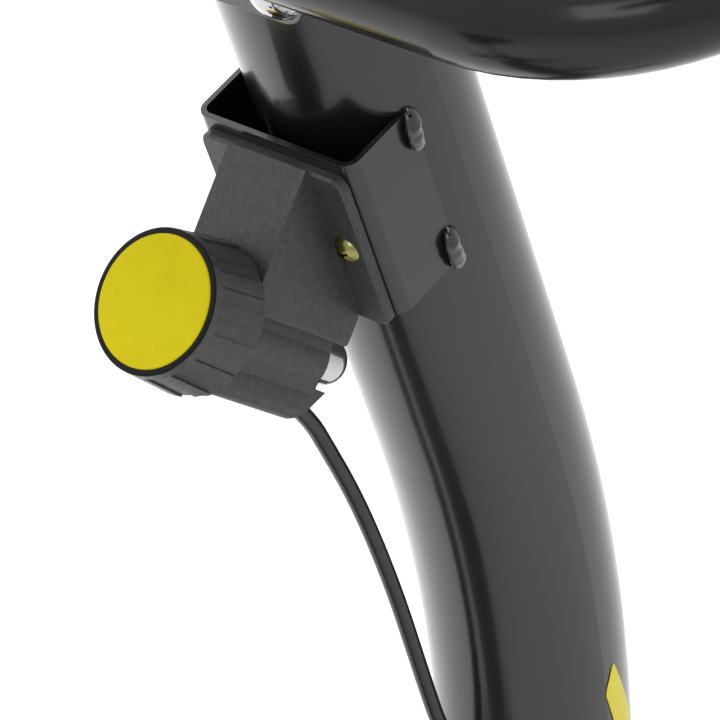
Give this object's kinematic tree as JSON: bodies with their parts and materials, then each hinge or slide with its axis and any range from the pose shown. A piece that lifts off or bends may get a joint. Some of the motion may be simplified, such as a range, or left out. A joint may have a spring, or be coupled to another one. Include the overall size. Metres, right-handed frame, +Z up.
{
  "type": "upright exercise bike",
  "caption": "Upright magnetic exercise bike with a bent handlebar post, cable tension knob, belt-driven flywheel, sliding seat and multi-grip handlebar.",
  "frame": {"origin": "on the floor under the centre of the bike's outer box, measured without the free tension cable", "axes": "+Z up, +Y forward away from the rider, +X to the rider's right"},
  "size_m": [0.5446, 0.8919, 1.2129],
  "materials": {
    "frame_paint": "glossy black powder coat",
    "post_paint": "high gloss black enamel",
    "handlebar_paint": "high gloss black enamel",
    "black_plastic": "fine moulded texture",
    "shroud_plastic": "satin moulded black",
    "yellow_plastic": "satin yellow",
    "chrome_parts": "polished",
    "zinc_screws": "yellow zinc plate",
    "steel_hardware": "zinc plate",
    "cable_jacket": "smooth black jacket",
    "rubber_parts": "matte",
    "foam": "closed-cell foam",
    "saddle_cover": "grained synthetic leather",
    "belt_rubber": "ribbed belt",
    "iron": "machined rim",
    "magnet_nickel": "nickel plate",
    "console_plastic": "satin dark grey",
    "lens": "clear window",
    "lcd": "grey-green display",
    "button_rubber": "yellow",
    "sensor_metal": "stainless",
    "pedal_plastic": "moulded"
  },
  "bodies": {
    "root": {"base_beam": "frame_paint", "stabilizers": "frame_paint", "end_caps": "black_plastic", "frame_bolts": "steel_hardware", "seat_tube": "frame_paint", "seat_tube_sleeve": "black_plastic", "front_upright": "frame_paint", "drive_mounts": "frame_paint", "bearings": "steel_hardware", "drive_axles": "steel_hardware", "drive_belt": "belt_rubber", "shroud_left": "shroud_plastic", "shroud_right": "shroud_plastic", "shroud_screws": "steel_hardware", "yoke_spring": "steel_hardware", "handlebar_post": "post_paint", "post_sleeve_cover": "black_plastic", "cable_grommet": "rubber_parts", "tension_cable": "cable_jacket", "tension_bracket": "post_paint", "controller_housing": "black_plastic", "controller_screws": "zinc_screws", "handlebar_seat": "post_paint", "handlebar_strap": "post_paint", "strap_bolts": "chrome_parts", "console_bracket": "frame_paint", "console_rear_shell": "console_plastic", "console_bezel": "console_plastic", "console_display": "lcd", "console_lens": "lens"},
    "crank": {"crank_axle": "steel_hardware", "crank_pulley": "black_plastic", "crank_arms": "chrome_parts", "pedal_spindles": "steel_hardware"},
    "pedal_left_body": {"pedal_left": "pedal_plastic", "pedal_strap_left": "rubber_parts"},
    "pedal_right_body": {"pedal_right": "pedal_plastic", "pedal_strap_right": "rubber_parts"},
    "flywheel_body": {"flywheel": "iron"},
    "idler_body": {"idler_wheel": "black_plastic"},
    "yoke_body": {"magnet_yoke": "steel_hardware", "yoke_magnets": "magnet_nickel", "inner_wire_end": "steel_hardware"},
    "knob_body": {"knob_grip": "black_plastic", "knob_disc": "yellow_plastic", "knob_spindle": "steel_hardware", "spindle_dome_cap": "chrome_parts"},
    "slider_body": {"cable_slider_nut": "black_plastic"},
    "seat_body": {"seat_post": "chrome_parts", "saddle_pan": "black_plastic", "saddle_cushion": "saddle_cover", "saddle_nuts": "steel_hardware"},
    "seat_clamp_body": {"seat_pin": "steel_hardware", "seat_pin_knob": "black_plastic"},
    "handlebar_body": {"handlebar": "handlebar_paint", "foam_grips": "foam", "pulse_sensors": "sensor_metal"},
    "console_button_body": {"console_button": "button_rubber"},
    "transport_wheel_left_body": {"transport_wheel_left": "black_plastic"},
    "transport_wheel_right_body": {"transport_wheel_right": "black_plastic"}
  },
  "joints": [
    {"name": "crank_spin", "type": "hinge", "parent": "root", "child": "crank", "pos_m": [0, -0.04, 0.3], "axis": [1, 0, 0], "continuous": true},
    {"name": "pedal_left_spin", "type": "hinge", "parent": "crank", "child": "pedal_left_body", "pos_m": [-0.132, -0.19692, 0.35099], "axis": [1, 0, 0], "continuous": true},
    {"name": "pedal_right_spin", "type": "hinge", "parent": "crank", "child": "pedal_right_body", "pos_m": [0.132, 0.11692, 0.24901], "axis": [1, 0, 0], "continuous": true},
    {"name": "flywheel_spin", "type": "hinge", "parent": "root", "child": "flywheel_body", "pos_m": [0, 0.13, 0.32], "axis": [1, 0, 0], "continuous": true},
    {"name": "idler_spin", "type": "hinge", "parent": "root", "child": "idler_body", "pos_m": [0.016, 0.09779, 0.2406], "axis": [1, 0, 0], "continuous": true},
    {"name": "tension_knob_turn", "type": "hinge", "parent": "root", "child": "knob_body", "pos_m": [0, 0.14646, 0.94103], "axis": [0, 0.8392, -0.5438], "range_deg": [0, 330]},
    {"name": "cable_slider_travel", "type": "slide", "parent": "root", "child": "slider_body", "axis": [0, 0.8392, -0.5438], "range_m": [0, 0.008]},
    {"name": "magnet_yoke_swing", "type": "hinge", "parent": "root", "child": "yoke_body", "pos_m": [0, 0.06174, 0.41748], "axis": [1, 0, 0], "range_deg": [-2.6, 0]},
    {"name": "seat_height_slide", "type": "slide", "parent": "root", "child": "seat_body", "axis": [0, -0.2079, 0.9781], "range_m": [-0.07, 0.1]},
    {"name": "seat_clamp_turn", "type": "hinge", "parent": "root", "child": "seat_clamp_body", "pos_m": [0, -0.25205, 0.47659], "axis": [0, -0.9781, -0.2079], "range_deg": [0, 350]},
    {"name": "handlebar_tilt", "type": "hinge", "parent": "root", "child": "handlebar_body", "pos_m": [0, 0.14594, 1.05332], "axis": [1, 0, 0], "range_deg": [-10, 12]},
    {"name": "console_button_press", "type": "slide", "parent": "root", "child": "console_button_body", "axis": [0, 0.788, -0.6157], "range_m": [0, 0.0015], "stiffness_N_per_m": 300},
    {"name": "transport_wheel_left_spin", "type": "hinge", "parent": "root", "child": "transport_wheel_left_body", "pos_m": [-0.2366, 0.415, 0.034], "axis": [1, 0, 0], "continuous": true},
    {"name": "transport_wheel_right_spin", "type": "hinge", "parent": "root", "child": "transport_wheel_right_body", "pos_m": [0.2366, 0.415, 0.034], "axis": [1, 0, 0], "continuous": true}
  ],
  "couplings": [
    {"joint": "flywheel_spin", "follows": "crank_spin", "ratio": 4.48},
    {"joint": "idler_spin", "follows": "crank_spin", "ratio": -8},
    {"joint": "cable_slider_travel", "follows": "tension_knob_turn", "m_per_rad": 0.001388},
    {"joint": "magnet_yoke_swing", "follows": "tension_knob_turn", "ratio": -0.007878}
  ]
}
